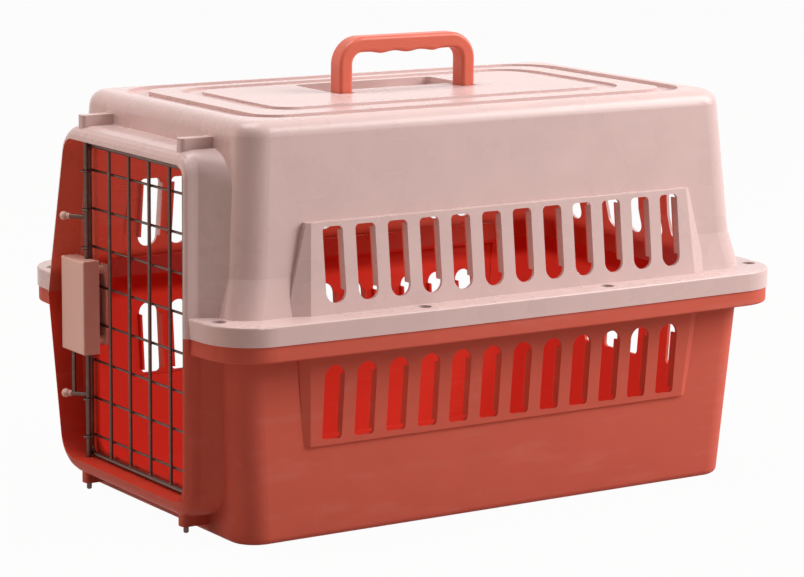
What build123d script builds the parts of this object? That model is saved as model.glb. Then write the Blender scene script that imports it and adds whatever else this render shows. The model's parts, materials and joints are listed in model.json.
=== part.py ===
"""Plastic pet carrier: two moulded shells, a wire door with a squeeze latch and a folding handle.

Millimetres, +Z up. The door faces -Y, the vent grilles face +X and -X.
The origin is the middle of the base, on the surface that the carrier stands on.
"""
import math
import os

from build123d import *

# Shell body: half sizes of the outside at each height
WALL = 2.5
CORNER_RADIUS = 22.0
BASE_HALF_X = 132.6
BASE_HALF_Y = 222.5
BASE_EDGE_RADIUS = 5.0
WAIST_HALF_X = 140.0
WAIST_HALF_Y = 233.5
SHOULDER_Z = 196.0
SHOULDER_HALF_X = 134.7
SHOULDER_HALF_Y = 226.4
ROOF_Z = 307.0
ROOF_HALF_X = 125.4
ROOF_HALF_Y = 217.6
ROOF_EDGE_RADIUS = 12.0

# Flange: the pink band above the joint and the coral skirt below it
JOINT_Z = 153.5
BAND_HEIGHT = 14.5
SKIRT_DEPTH = 12.0
SKIRT_INSET = 1.0
FLANGE_HALF_X = 168.0
FLANGE_HALF_Y = 257.0
FLANGE_CORNER_X = 164.4
FLANGE_CORNER_Y = 250.0
FLANGE_CORNER_RADIUS = 40.0
SIDE_FACET_HALF = 83.0
END_FACET_HALF = 60.0
FLANGE_EDGE_RADIUS = 1.5

# Flange screws: one beside each facet joint and one near each corner
SIDE_SCREW_X = 154.0
SIDE_SCREW_Y = 83.0
CORNER_SCREW_X = 129.5
CORNER_SCREW_Y = 241.0
SCREW_BOSS_RADIUS = 7.0
SCREW_HEAD_RADIUS = 4.7
SCREW_HEAD_HEIGHT = 3.0
SCREW_HEAD_EDGE = 1.0
SCREW_WELL_RADIUS = 5.5
SCREW_WELL_DEPTH = 4.5
SCREW_RADIUS = 2.5
SCREW_LENGTH = 20.0
SCREW_CLEARANCE = 0.15
NUT_FLATS = 8.0
NUT_HEIGHT = 4.0
NUT_POCKET_CLEARANCE = 0.15

# Side grilles: an inclined panel on each side of each shell, with a row of slots
SLOT_COUNT = 12
SLOT_PITCH = 27.66
SLOT_WIDTH = 17.0
SLOT_SQUARE_RADIUS = 3.5
PANEL_END_MARGIN = 11.5
PANEL_END_LEAN = 2.3
PANEL_RAMP_SLOPE = 0.45
UPPER_RAMP_FOOT = 16.0
UPPER_RAMP_TOP = 3.3
LOWER_RAMP_HEAD = 8.5
LOWER_RAMP_FOOT = 5.0
UPPER_PANEL_FOOT_X = 145.5
UPPER_PANEL_TOP_X = 137.6
UPPER_PANEL_TOP_Z = 234.0
UPPER_SLOT_LOW_Z = 175.5
UPPER_SLOT_TOP_Z = 230.6
LOWER_PANEL_HEAD_X = 145.0
LOWER_PANEL_FOOT_X = 138.0
LOWER_PANEL_FOOT_Z = 70.0
LOWER_SLOT_LOW_Z = 74.0
LOWER_SLOT_TOP_Z = 130.0
SLOT_LIP_THICKNESS = 1.8
SLOT_LIP_DEPTH = 5.5
REAR_SLOT_COUNT = 7

# Door surround: the hood that stands forward of the front wall
HOOD_JOINT_HALF = 106.2
HOOD_JOINT_Y = -257.0
HOOD_TOP_Z = 274.5
HOOD_TOP_HALF = 92.5
HOOD_TOP_Y = -249.0
HOOD_SILL_Z = 27.7
HOOD_SILL_HALF = 95.0
HOOD_SILL_Y = -251.5
HOOD_SIDE_WALL = 4.0
HOOD_TOP_WALL = 10.5
HOOD_SILL_WALL = 12.5
HOOD_TOP_CORNER = 12.0
HOOD_SILL_CORNER = 18.0
HOOD_RIM = 0.8
HOOD_FLARE = 26.0
STOP_Y = -231.0
STOP_THICKNESS = 2.5
STOP_OVERLAP = 4.5

# Lugs above and below the hood that carry the door's upright rods
LUG_HALF_X = 5.0
LUG_FRONT_REACH = 5.0
LUG_BACK_Y = -212.0
UPPER_LUG_TOP_Z = 293.0
LOWER_LUG_LOW_Z = 8.0

# Wire door
DOOR_HALF_X = 78.5
DOOR_LOW_Z = 30.0
DOOR_TOP_Z = 270.0
DOOR_CORNER_RADIUS = 6.0
FRAME_WIRE_RADIUS = 2.0
UPRIGHT_WIRE_RADIUS = 1.35
CROSS_WIRE_RADIUS = 1.0
UPRIGHT_COUNT = 4
CROSS_COUNT = 8
CROSS_LOW_Z = 44.0
CROSS_TOP_Z = 250.0
CROSS_OVERHANG = 1.0
WELD_GAP = 0.05
STOP_GAP = 0.35
ROD_RADIUS = 2.0
HINGE_X = 78.0
ROD_LOW_Z = 2.5
ROD_TOP_Z = 287.5
HINGE_CLEARANCE = 0.06
KEEPER_CLEARANCE = 0.3

# Squeeze latch on the free edge of the door
LATCH_X = -75.0
LATCH_ROD_GAP = 0.3
UPPER_ROD_TOP_Z = 285.0
UPPER_TAB_Z = 215.0
UPPER_TRAVEL = 12.0
LOWER_ROD_LOW_Z = 2.5
LOWER_TAB_Z = 77.0
LOWER_TRAVEL = 26.0
TAB_REACH_X = 14.0
TAB_REACH_Y = 12.0
TAB_ARM_RADIUS = 1.7
TAB_BALL_RADIUS = 3.0
COVER_LEFT_X = -96.5
COVER_RIGHT_X = -59.5
COVER_LOW_Z = 111.0
COVER_TOP_Z = 183.0
COVER_FRONT_Y = -251.0
COVER_WALL = 2.0
COVER_EDGE_RADIUS = 1.2
GUIDE_LEG_X = -84.0
GUIDE_LEG_RADIUS = 1.6
GUIDE_LEG_TOP_Z = 119.0
PARTITION_Z = 159.0
PARTITION_THICKNESS = 2.0
ROD_COLLAR_RADIUS = 3.2
ROD_COLLAR_HEIGHT = 1.5
UPPER_ROD_END_Z = 177.0
LOWER_ROD_END_Z = 119.0
SPRING_RADIUS = 2.7
SPRING_WIRE = 0.8
SPRING_END_GAP = 0.1
UPPER_SPRING_TURNS = 4
LOWER_SPRING_TURNS = 7
COVER_SCREW_X = -66.5
COVER_SCREW_LOW_Z = 121.0
COVER_SCREW_TOP_Z = 175.0
COVER_BOSS_RADIUS = 3.4
COVER_SCREW_RADIUS = 1.5
COVER_SCREW_CLEARANCE = 0.05
COVER_SCREW_HEAD_RADIUS = 2.8
COVER_SCREW_HEAD_HEIGHT = 1.8
COVER_SCREW_LENGTH = 12.0
BACK_PLATE_HALF_X = 5.5
BACK_PLATE_THICKNESS = 2.0

# Roof: two ring grooves round the handle pocket
GROOVE_WIDTH = 16.0
OUTER_GROOVE_DEPTH = 3.0
OUTER_GROOVE_HALF_X = 95.0
OUTER_GROOVE_HALF_Y = 184.0
OUTER_GROOVE_RADIUS = 22.0
INNER_GROOVE_DEPTH = 2.0
INNER_GROOVE_X = -5.0
INNER_GROOVE_HALF_X = 65.0
INNER_GROOVE_HALF_Y = 149.0
INNER_GROOVE_RADIUS = 18.0

# Folding carrying handle
HANDLE_X = -4.0
HANDLE_HALF_Y = 62.5
HANDLE_THICKNESS = 12.0
HANDLE_WIDTH = 16.0
HANDLE_TOP_Z = 349.5
HANDLE_OUTER_RADIUS = 22.0
HANDLE_INNER_RADIUS = 9.0
HANDLE_EDGE_RADIUS = 3.0
PIVOT_Z = 298.0
SCALLOP_COUNT = 4
SCALLOP_PITCH = 24.0
SCALLOP_DEPTH = 1.4
PIVOT_PIN_RADIUS = 2.0
PIVOT_CLEARANCE = 0.05
PIVOT_BOSS_RADIUS = 5.5
PIVOT_BOSS_THICKNESS = 3.0
POCKET_CLEARANCE = 1.2
POCKET_FINGER_ROOM = 8.0
POCKET_RIM_X = -13.0
POCKET_CORNER_RADIUS = 6.0

# Sizes that follow from those above
BAND_TOP_Z = JOINT_Z + BAND_HEIGHT
SKIRT_LOW_Z = JOINT_Z - SKIRT_DEPTH
GRILLE_HALF_Y = SLOT_PITCH * (SLOT_COUNT - 1) / 2 + SLOT_WIDTH / 2 + PANEL_END_MARGIN
CROSS_Y = STOP_Y - STOP_GAP - CROSS_WIRE_RADIUS
FRAME_Y = CROSS_Y - CROSS_WIRE_RADIUS - FRAME_WIRE_RADIUS - WELD_GAP
UPRIGHT_Y = CROSS_Y - CROSS_WIRE_RADIUS - UPRIGHT_WIRE_RADIUS - WELD_GAP
HINGE_Y = FRAME_Y - FRAME_WIRE_RADIUS - ROD_RADIUS - WELD_GAP
LATCH_Y = FRAME_Y - FRAME_WIRE_RADIUS - ROD_RADIUS - LATCH_ROD_GAP
COVER_BACK_Y = FRAME_Y - FRAME_WIRE_RADIUS - WELD_GAP
GUIDE_LEG_Y = COVER_FRONT_Y + COVER_WALL + KEEPER_CLEARANCE + GUIDE_LEG_RADIUS
PLATE_FRONT_Y = CROSS_Y + CROSS_WIRE_RADIUS + WELD_GAP
HANDLE_INNER_HALF_Y = HANDLE_HALF_Y - HANDLE_THICKNESS
POCKET_FLOOR_Z = PIVOT_Z - HANDLE_WIDTH / 2 - POCKET_CLEARANCE
POCKET_FAR_X = -(HANDLE_TOP_Z - PIVOT_Z) - POCKET_FINGER_ROOM
POCKET_NEAR_X = HANDLE_WIDTH / 2 + POCKET_CLEARANCE
POCKET_HALF_Y = HANDLE_HALF_Y + POCKET_CLEARANCE
POCKET_INNER_HALF_Y = HANDLE_INNER_HALF_Y - POCKET_CLEARANCE
FLANGE_SCREW_PLACES = [
    (sx * x, sy * y)
    for x, y in ((SIDE_SCREW_X, SIDE_SCREW_Y), (CORNER_SCREW_X, CORNER_SCREW_Y))
    for sx in (1, -1)
    for sy in (1, -1)
]


def between(low, high, share):
    """The value a given share of the way from low to high."""
    return low + (high - low) * share


def block(x0, x1, y0, y1, z0, z1):
    """A box between two corners."""
    size = Box(x1 - x0, y1 - y0, z1 - z0)
    return Pos((x0 + x1) / 2, (y0 + y1) / 2, (z0 + z1) / 2) * size


def rod_along_z(x, y, z0, z1, radius):
    """A round rod that stands upright."""
    return Pos(x, y, (z0 + z1) / 2) * Cylinder(radius, z1 - z0)


def rod_along_y(x, y0, y1, z, radius):
    """A round rod that lies along Y."""
    return Pos(x, (y0 + y1) / 2, z) * Rot(90, 0, 0) * Cylinder(radius, y1 - y0)


def tapered_block(sections, inset=0.0):
    """A body with rounded corners whose half sizes change with height.

    Each section is (z, half x, half y); inset moves every wall inwards.
    """
    outlines = [
        Pos(0, 0, z) * RectangleRounded(2 * (hx - inset), 2 * (hy - inset), CORNER_RADIUS - inset)
        for z, hx, hy in sections
    ]
    return loft(Sketch() + outlines, ruled=True)


def flange_outline(inset=0.0):
    """The flange seen from above: straight facets and four round corners."""
    hx = FLANGE_HALF_X - inset
    hy = FLANGE_HALF_Y - inset
    cx = FLANGE_CORNER_X - inset
    cy = FLANGE_CORNER_Y - inset
    quarter = [(hx, SIDE_FACET_HALF), (cx, cy), (END_FACET_HALF, hy)]
    points = quarter
    points = points + [(-x, y) for x, y in reversed(quarter)]
    points = points + [(-x, -y) for x, y in points[:3]]
    points = points + [(x, -y) for x, y in reversed(quarter)]
    face = make_face(Polyline(*points, close=True))
    corners = [v for v in face.vertices() if abs(abs(v.X) - cx) < 0.01 and abs(abs(v.Y) - cy) < 0.01]
    return fillet(corners, FLANGE_CORNER_RADIUS - inset)


def round_edge(face, radius):
    """How far a round edge of this radius has grown at each depth behind the rim."""
    def growth(depth):
        short = max(0.0, radius - depth) / radius
        return face * math.sqrt(max(0.0, 1 - short**2))
    return growth


def hood_section(upper, depth, side_growth, end_growth, back_y=None):
    """The door surround's outline on a plane that leans as its front rim does.

    upper picks the half above the joint; depth is how far the plane lies behind the rim.
    """
    end_half = HOOD_TOP_HALF if upper else HOOD_SILL_HALF
    end_z = HOOD_TOP_Z if upper else HOOD_SILL_Z
    end_y = HOOD_TOP_Y if upper else HOOD_SILL_Y
    corner = HOOD_TOP_CORNER if upper else HOOD_SILL_CORNER
    rise = end_z - JOINT_Z
    lean = end_y - HOOD_JOINT_Y
    slant = math.hypot(rise, lean)
    slope = (end_half - HOOD_JOINT_HALF) / rise
    reach = rise + (end_growth if upper else -end_growth)
    top_half = HOOD_JOINT_HALF + slope * reach + side_growth
    joint_half = HOOD_JOINT_HALF + side_growth
    if back_y is None:
        up = Vector(0, lean / slant, rise / slant) * (1 if upper else -1)
        plane = Plane(
            origin=(0, HOOD_JOINT_Y + depth, JOINT_Z),
            x_dir=(1, 0, 0),
            z_dir=Vector(1, 0, 0).cross(up),
        )
        length = reach * slant / abs(rise)
    else:
        plane = Plane(origin=(0, back_y, JOINT_Z), x_dir=(1, 0, 0), z_dir=(0, -1, 0))
        length = reach
    points = [(-joint_half, 0), (joint_half, 0), (top_half, length), (-top_half, length)]
    face = make_face(Polyline(*points, close=True))
    far = face.vertices().sort_by(Axis.Y)
    corners = far[-2:] if upper else far[:2]
    return plane * fillet(corners, corner + side_growth)


def hood_solid(upper):
    """The outside of the door surround, rounded along its front rim."""
    side = round_edge(HOOD_SIDE_WALL, HOOD_SIDE_WALL)
    wall = HOOD_TOP_WALL if upper else HOOD_SILL_WALL
    end = round_edge(wall, wall)
    depths = [0.0, 0.06 * wall, 0.2 * wall, 0.45 * wall, wall]
    sections = [
        hood_section(upper, d, max(HOOD_RIM, side(d)), max(HOOD_RIM, end(d))) for d in depths
    ]
    sections.append(hood_section(upper, 0, HOOD_FLARE, wall, back_y=LUG_BACK_Y))
    return loft(Sketch() + sections, ruled=True)


def hood_recess(upper):
    """The space in front of the door stop, open towards -Y."""
    front = hood_section(upper, -HOOD_SIDE_WALL, 0, 0)
    back = hood_section(upper, 0, 0, 0, back_y=STOP_Y)
    return loft(Sketch() + [front, back], ruled=True)


def hood_room(upper):
    """The space behind the door stop, with hollows between the straight jambs and the flared sides."""
    wall = HOOD_TOP_WALL if upper else HOOD_SILL_WALL
    run = LUG_BACK_Y - HOOD_JOINT_Y - wall
    skin = WALL * math.hypot(HOOD_FLARE - HOOD_SIDE_WALL, run) / run
    front = hood_section(upper, wall, HOOD_SIDE_WALL - skin, wall - WALL)
    back = hood_section(upper, 0, HOOD_FLARE - skin, wall - WALL, back_y=LUG_BACK_Y)
    ends = (HOOD_JOINT_Y - 1, STOP_Y + STOP_THICKNESS)
    jambs = [hood_section(upper, 0, WALL, wall, back_y=y) for y in ends]
    return loft(Sketch() + [front, back], ruled=True) - loft(Sketch() + jambs, ruled=True)


def lugs(low_z, top_z):
    """The two lugs of one shell, one round the hinge rod and one round the latch rod."""
    pair = []
    for x in (HINGE_X, LATCH_X):
        lug = block(x - LUG_HALF_X, x + LUG_HALF_X, HINGE_Y - LUG_FRONT_REACH, LUG_BACK_Y, low_z, top_z)
        pair.append(fillet(lug.edges().filter_by(Axis.Z).group_by(Axis.Y)[0], LUG_HALF_X * 0.7))
    return pair


def doorway():
    """The hole through the door stop."""
    half = DOOR_HALF_X + CROSS_OVERHANG - STOP_OVERLAP / 2
    low = HOOD_SILL_Z + STOP_OVERLAP
    high = HOOD_TOP_Z - STOP_OVERLAP - CROSS_OVERHANG
    depth = STOP_THICKNESS * 2
    outline = Pos(0, (low + high) / 2) * RectangleRounded(2 * half, high - low, HOOD_TOP_CORNER)
    plane = Plane(origin=(0, STOP_Y - STOP_THICKNESS / 2, 0), x_dir=(1, 0, 0), z_dir=(0, -1, 0))
    return extrude(plane * outline, -depth)


def panel_block(low, high, inset=0.0):
    """An inclined panel on both sides, with ramps at its ends.

    low and high are (z, face x, face half length, ramp length); inset moves its face and
    ends inwards.
    """
    outlines = []
    for z, face_x, half_y, ramp in (low, high):
        x = face_x - inset
        y = half_y - inset
        drop = ramp * PANEL_RAMP_SLOPE
        points = [(x, -y), (x, y), (x - drop, y + ramp), (-x + drop, y + ramp)]
        points = points + [(-px, -py) for px, py in points]
        outlines.append(Pos(0, 0, z) * make_face(Polyline(*points, close=True)))
    return loft(Sketch() + outlines, ruled=True)


def slot_places(count=SLOT_COUNT):
    """The middle of each slot along its row."""
    first = -SLOT_PITCH * (count - 1) / 2
    return [first + i * SLOT_PITCH for i in range(count)]


def slot_outline(low_z, top_z, round_end_low):
    """One slot: the end beside the flange is a full round and the other end is nearly square."""
    half = SLOT_WIDTH / 2
    round_z = low_z + half if round_end_low else top_z - half
    square_z = top_z if round_end_low else low_z
    tall = abs(square_z - round_z)
    middle = (square_z + round_z) / 2
    shaft = Pos(0, middle) * Rectangle(SLOT_WIDTH, tall)
    square = shaft.vertices().sort_by(Axis.Y)
    shaft = fillet(square[-2:] if round_end_low else square[:2], SLOT_SQUARE_RADIUS)
    return shaft + Pos(0, round_z) * Circle(half)


def slot_cutters(low_z, top_z, round_end_low):
    """All slots of one shell: the rows on both sides and the row in the rear wall."""
    outline = slot_outline(low_z, top_z, round_end_low)
    start = WAIST_HALF_X / 2
    side = extrude(Plane.YZ * outline, FLANGE_HALF_X - start)
    rows = [Pos(start, y, 0) * side for y in slot_places()]
    rows += [Pos(-FLANGE_HALF_X, y, 0) * side for y in slot_places()]
    rear = extrude(Plane.XZ * outline, -FLANGE_HALF_Y + start)
    rows += [Pos(x, start, 0) * rear for x in slot_places(REAR_SLOT_COUNT)]
    return rows


def slot_lips(low_z, top_z, low_x, high_x, span_low, span_high):
    """Thin walls that turn inwards along both straight edges of every slot."""
    def face_x(z):
        return between(low_x, high_x, (z - span_low) / (span_high - span_low)) - WALL
    lips = []
    for side in (1, -1):
        points = [
            (side * (face_x(low_z) + 0.5), low_z),
            (side * (face_x(top_z) + 0.5), top_z),
            (side * (face_x(top_z) - SLOT_LIP_DEPTH), top_z),
            (side * (face_x(low_z) - SLOT_LIP_DEPTH), low_z),
        ]
        outline = Plane.XZ * make_face(Polyline(*points, close=True))
        lip = extrude(outline, SLOT_LIP_THICKNESS / 2, both=True)
        offset = (SLOT_WIDTH + SLOT_LIP_THICKNESS) / 2
        lips += [Pos(0, y + s * offset, 0) * lip for y in slot_places() for s in (1, -1)]
    return lips


def flange_channel(z0, z1, plate_low, plate_high, inset, outer):
    """The flange of one shell: a flat plate with a wall that hangs along its outer edge."""
    solid = Pos(0, 0, z0) * extrude(flange_outline(inset), z1 - z0)
    edge = solid.faces().sort_by(Axis.Z)[outer].edges()
    solid = fillet(edge, FLANGE_EDGE_RADIUS)
    low = z0 - 1 if plate_low > z0 else plate_high
    high = plate_low if plate_low > z0 else z1 + 1
    hollow = Pos(0, 0, low) * extrude(flange_outline(inset + WALL), high - low)
    return solid - hollow


def groove_rings():
    """Middle x, half sizes, corner radius and depth of each ring groove in the roof."""
    return (
        (0.0, OUTER_GROOVE_HALF_X, OUTER_GROOVE_HALF_Y, OUTER_GROOVE_RADIUS, OUTER_GROOVE_DEPTH),
        (
            INNER_GROOVE_X, INNER_GROOVE_HALF_X, INNER_GROOVE_HALF_Y, INNER_GROOVE_RADIUS,
            INNER_GROOVE_DEPTH,
        ),
    )


def groove_solid(ring, low_z, tall, margin=0.0):
    """A ring of the groove's outline, widened on both sides by a margin."""
    x, half_x, half_y, radius, _ = ring
    grow = GROOVE_WIDTH + margin
    outer = RectangleRounded(2 * (half_x + grow), 2 * (half_y + grow), radius + grow)
    inner = RectangleRounded(2 * (half_x - margin), 2 * (half_y - margin), radius - margin)
    return Pos(x, 0, low_z) * extrude(outer - inner, tall)


def pocket_outline(margin=0.0):
    """The handle pocket seen from above: a dish with two leg wells."""
    dish = Rectangle(POCKET_RIM_X - POCKET_FAR_X + 2 * margin, 2 * (POCKET_HALF_Y + margin))
    dish = Pos((POCKET_FAR_X + POCKET_RIM_X) / 2, 0) * dish
    dish = fillet(dish.vertices().group_by(Axis.X)[0], POCKET_CORNER_RADIUS + margin)
    well_y = (POCKET_HALF_Y + POCKET_INNER_HALF_Y) / 2
    deep = POCKET_HALF_Y - POCKET_INNER_HALF_Y + 2 * margin
    long = POCKET_NEAR_X + margin - POCKET_RIM_X
    wells = [
        Pos((POCKET_NEAR_X + margin + POCKET_RIM_X) / 2, s * well_y) * Rectangle(long + 2, deep)
        for s in (1, -1)
    ]
    return Pos(HANDLE_X, 0) * (dish + Pos(-1, 0) * wells[0] + Pos(-1, 0) * wells[1])


def pivot_bosses():
    """Round pads that thicken the pocket walls where the handle pins sit."""
    pads = []
    for s in (1, -1):
        inner = POCKET_INNER_HALF_Y - WALL - PIVOT_BOSS_THICKNESS
        outer = POCKET_HALF_Y + WALL
        for y0, y1 in ((inner, POCKET_INNER_HALF_Y), (POCKET_HALF_Y, outer + PIVOT_BOSS_THICKNESS)):
            low, high = sorted((s * y0, s * y1))
            pads.append(rod_along_y(HANDLE_X, low, high, PIVOT_Z, PIVOT_BOSS_RADIUS))
    return pads


def handle_pin(side):
    """One steel pin; side is -1 at the front and 1 at the rear."""
    inner = POCKET_INNER_HALF_Y - WALL - PIVOT_BOSS_THICKNESS
    outer = POCKET_HALF_Y + WALL + PIVOT_BOSS_THICKNESS
    low, high = sorted((side * inner, side * outer))
    return rod_along_y(HANDLE_X, low, high, PIVOT_Z, PIVOT_PIN_RADIUS)


def upper_shell():
    """The pink top: roof, walls, band, upper grilles and the top of the door surround."""
    sections = [
        (JOINT_Z, WAIST_HALF_X, WAIST_HALF_Y),
        (BAND_TOP_Z, WAIST_HALF_X, WAIST_HALF_Y),
        (SHOULDER_Z, SHOULDER_HALF_X, SHOULDER_HALF_Y),
        (ROOF_Z, ROOF_HALF_X, ROOF_HALF_Y),
    ]
    body = tapered_block(sections)
    body = fillet(body.faces().sort_by(Axis.Z)[-1].edges(), ROOF_EDGE_RADIUS)
    room = tapered_block(sections[:-1] + [(ROOF_Z - WALL, ROOF_HALF_X, ROOF_HALF_Y)], WALL)
    room = fillet(room.faces().sort_by(Axis.Z)[-1].edges(), ROOF_EDGE_RADIUS - WALL)
    long_half = GRILLE_HALF_Y + PANEL_END_LEAN
    short_half = GRILLE_HALF_Y - PANEL_END_LEAN
    foot = (BAND_TOP_Z, UPPER_PANEL_FOOT_X, long_half, UPPER_RAMP_FOOT)
    head = (UPPER_PANEL_TOP_Z, UPPER_PANEL_TOP_X, short_half, UPPER_RAMP_TOP)
    panel = panel_block(foot, head)
    head_inside = (UPPER_PANEL_TOP_Z - WALL, UPPER_PANEL_TOP_X, short_half, UPPER_RAMP_TOP)
    panel_room = panel_block(foot, head_inside, WALL)
    band = flange_channel(JOINT_Z, BAND_TOP_Z, BAND_TOP_Z - WALL, BAND_TOP_Z, 0.0, -1)
    bosses = [
        rod_along_z(x, y, JOINT_Z, BAND_TOP_Z - WALL / 2, SCREW_BOSS_RADIUS)
        for x, y in FLANGE_SCREW_PLACES
    ]
    shell = body + band + panel + hood_solid(True)
    shell = shell + bosses
    shell = shell + lugs(HOOD_TOP_Z + WALL, UPPER_LUG_TOP_Z)
    shell = shell - room - panel_room - hood_room(True) - hood_recess(True) - doorway()
    beads = [groove_solid(ring, ROOF_Z - ring[-1] - WALL, ring[-1], WALL) for ring in groove_rings()]
    tray_depth = ROOF_Z - POCKET_FLOOR_Z + WALL / 2
    tray = Pos(0, 0, POCKET_FLOOR_Z - WALL) * extrude(pocket_outline(WALL), tray_depth)
    lips = slot_lips(
        UPPER_SLOT_LOW_Z + SLOT_WIDTH / 2, UPPER_SLOT_TOP_Z - SLOT_SQUARE_RADIUS,
        UPPER_PANEL_FOOT_X, UPPER_PANEL_TOP_X, BAND_TOP_Z, UPPER_PANEL_TOP_Z,
    )
    shell = shell + beads + tray + lips + pivot_bosses()
    grooves = [groove_solid(ring, ROOF_Z - ring[-1], WALL + ring[-1]) for ring in groove_rings()]
    pocket = Pos(0, 0, POCKET_FLOOR_Z) * extrude(pocket_outline(), ROOF_Z)
    slots = slot_cutters(UPPER_SLOT_LOW_Z, UPPER_SLOT_TOP_Z, True)
    wells = []
    for x, y in FLANGE_SCREW_PLACES:
        wells.append(rod_along_z(x, y, BAND_TOP_Z - SCREW_WELL_DEPTH, BAND_TOP_Z + 1, SCREW_WELL_RADIUS))
        wells.append(rod_along_z(x, y, JOINT_Z - 1, BAND_TOP_Z, SCREW_RADIUS + SCREW_CLEARANCE))
    pins = [
        rod_along_y(HANDLE_X, -HANDLE_HALF_Y * 1.5, HANDLE_HALF_Y * 1.5, PIVOT_Z, PIVOT_PIN_RADIUS)
    ]
    hinge = rod_along_z(HINGE_X, HINGE_Y, HOOD_TOP_Z - 1, ROD_TOP_Z + 1, ROD_RADIUS + HINGE_CLEARANCE)
    keeper_radius = ROD_RADIUS + KEEPER_CLEARANCE
    keeper = rod_along_z(LATCH_X, LATCH_Y, HOOD_TOP_Z - 1, UPPER_ROD_TOP_Z + 1, keeper_radius)
    shell = shell - grooves - pocket - slots - wells - pins - hinge - keeper
    return shell


def lower_shell():
    """The coral tub: floor, walls, skirt, lower grilles and the sill of the door surround."""
    sections = [(0, BASE_HALF_X, BASE_HALF_Y), (JOINT_Z, WAIST_HALF_X, WAIST_HALF_Y)]
    body = tapered_block(sections)
    body = fillet(body.faces().sort_by(Axis.Z)[0].edges(), BASE_EDGE_RADIUS)
    room = tapered_block([(WALL, BASE_HALF_X, BASE_HALF_Y), sections[1]], WALL)
    room = fillet(room.faces().sort_by(Axis.Z)[0].edges(), BASE_EDGE_RADIUS - WALL)
    long_half = GRILLE_HALF_Y + PANEL_END_LEAN
    short_half = GRILLE_HALF_Y - PANEL_END_LEAN
    head = (JOINT_Z - WALL, LOWER_PANEL_HEAD_X, long_half, LOWER_RAMP_HEAD)
    foot = (LOWER_PANEL_FOOT_Z, LOWER_PANEL_FOOT_X, short_half, LOWER_RAMP_FOOT)
    panel = panel_block(foot, head)
    foot_inside = (LOWER_PANEL_FOOT_Z + WALL, LOWER_PANEL_FOOT_X, short_half, LOWER_RAMP_FOOT)
    panel_room = panel_block(foot_inside, head, WALL)
    skirt = flange_channel(SKIRT_LOW_Z, JOINT_Z, JOINT_Z - WALL, JOINT_Z, SKIRT_INSET, 0)
    bosses = [
        rod_along_z(x, y, SKIRT_LOW_Z + 1, JOINT_Z - WALL / 2, SCREW_BOSS_RADIUS)
        for x, y in FLANGE_SCREW_PLACES
    ]
    shell = body + skirt + panel + hood_solid(False)
    shell = shell + bosses
    shell = shell + lugs(LOWER_LUG_LOW_Z, HOOD_SILL_Z - WALL)
    shell = shell - room - panel_room - hood_room(False) - hood_recess(False) - doorway()
    lips = slot_lips(
        LOWER_SLOT_LOW_Z + SLOT_SQUARE_RADIUS, LOWER_SLOT_TOP_Z - SLOT_WIDTH / 2,
        LOWER_PANEL_FOOT_X, LOWER_PANEL_HEAD_X, LOWER_PANEL_FOOT_Z, JOINT_Z - WALL,
    )
    shell = shell + lips
    slots = slot_cutters(LOWER_SLOT_LOW_Z, LOWER_SLOT_TOP_Z, False)
    holes = []
    nut_seat = BAND_TOP_Z - SCREW_WELL_DEPTH - SCREW_LENGTH + 1
    for x, y in FLANGE_SCREW_PLACES:
        holes.append(rod_along_z(x, y, SKIRT_LOW_Z, JOINT_Z + 1, SCREW_RADIUS + SCREW_CLEARANCE))
        pocket = RegularPolygon(NUT_FLATS / 2 + NUT_POCKET_CLEARANCE, 6, major_radius=False)
        holes.append(Pos(x, y, SKIRT_LOW_Z) * extrude(pocket, nut_seat + NUT_HEIGHT - SKIRT_LOW_Z))
    hinge = rod_along_z(HINGE_X, HINGE_Y, 0, HOOD_SILL_Z + 1, ROD_RADIUS + HINGE_CLEARANCE)
    keeper = rod_along_z(LATCH_X, LATCH_Y, 0, HOOD_SILL_Z + 1, ROD_RADIUS + KEEPER_CLEARANCE)
    shell = shell - slots - holes - hinge - keeper
    return shell


def flange_screws():
    """Eight pan-head screws, head down in the wells of the band."""
    seat = BAND_TOP_Z - SCREW_WELL_DEPTH
    shank = rod_along_z(0, 0, seat - SCREW_LENGTH, seat, SCREW_RADIUS)
    head = rod_along_z(0, 0, seat, seat + SCREW_HEAD_HEIGHT, SCREW_HEAD_RADIUS)
    head = chamfer(head.edges().sort_by(Axis.Z)[-1], SCREW_HEAD_EDGE)
    screw = shank + head
    return Compound([Pos(x, y, 0) * screw.solid() for x, y in FLANGE_SCREW_PLACES])


def flange_nuts():
    """Eight hexagon nuts in pockets under the coral flange."""
    low = BAND_TOP_Z - SCREW_WELL_DEPTH - SCREW_LENGTH + 1
    outline = RegularPolygon(NUT_FLATS / 2, 6, major_radius=False) - Circle(SCREW_RADIUS + 0.05)
    nut = Pos(0, 0, low) * extrude(outline, NUT_HEIGHT - SCREW_CLEARANCE)
    return Compound([Pos(x, y, 0) * nut.solid() for x, y in FLANGE_SCREW_PLACES])


def grip_gap(low, under):
    """The gap under the grip, whose top edge waves softly between four finger hollows."""
    reach = SCALLOP_PITCH * (SCALLOP_COUNT - 1) / 2
    step = SCALLOP_PITCH / 2
    wave = [(-reach + i * step, under - SCALLOP_DEPTH * (i % 2)) for i in range(2 * SCALLOP_COUNT - 1)]
    top = Spline(*wave, tangents=[(1, 0), (1, 0)])
    rest = Polyline(
        (reach, under), (HANDLE_INNER_HALF_Y, under), (HANDLE_INNER_HALF_Y, low),
        (-HANDLE_INNER_HALF_Y, low), (-HANDLE_INNER_HALF_Y, under), (-reach, under),
    )
    gap = make_face(Curve() + [top, rest])
    corners = [v for v in gap.vertices() if abs(abs(v.X) - HANDLE_INNER_HALF_Y) < 0.01 and v.Y > low + 1]
    return fillet(corners, HANDLE_INNER_RADIUS)


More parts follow.
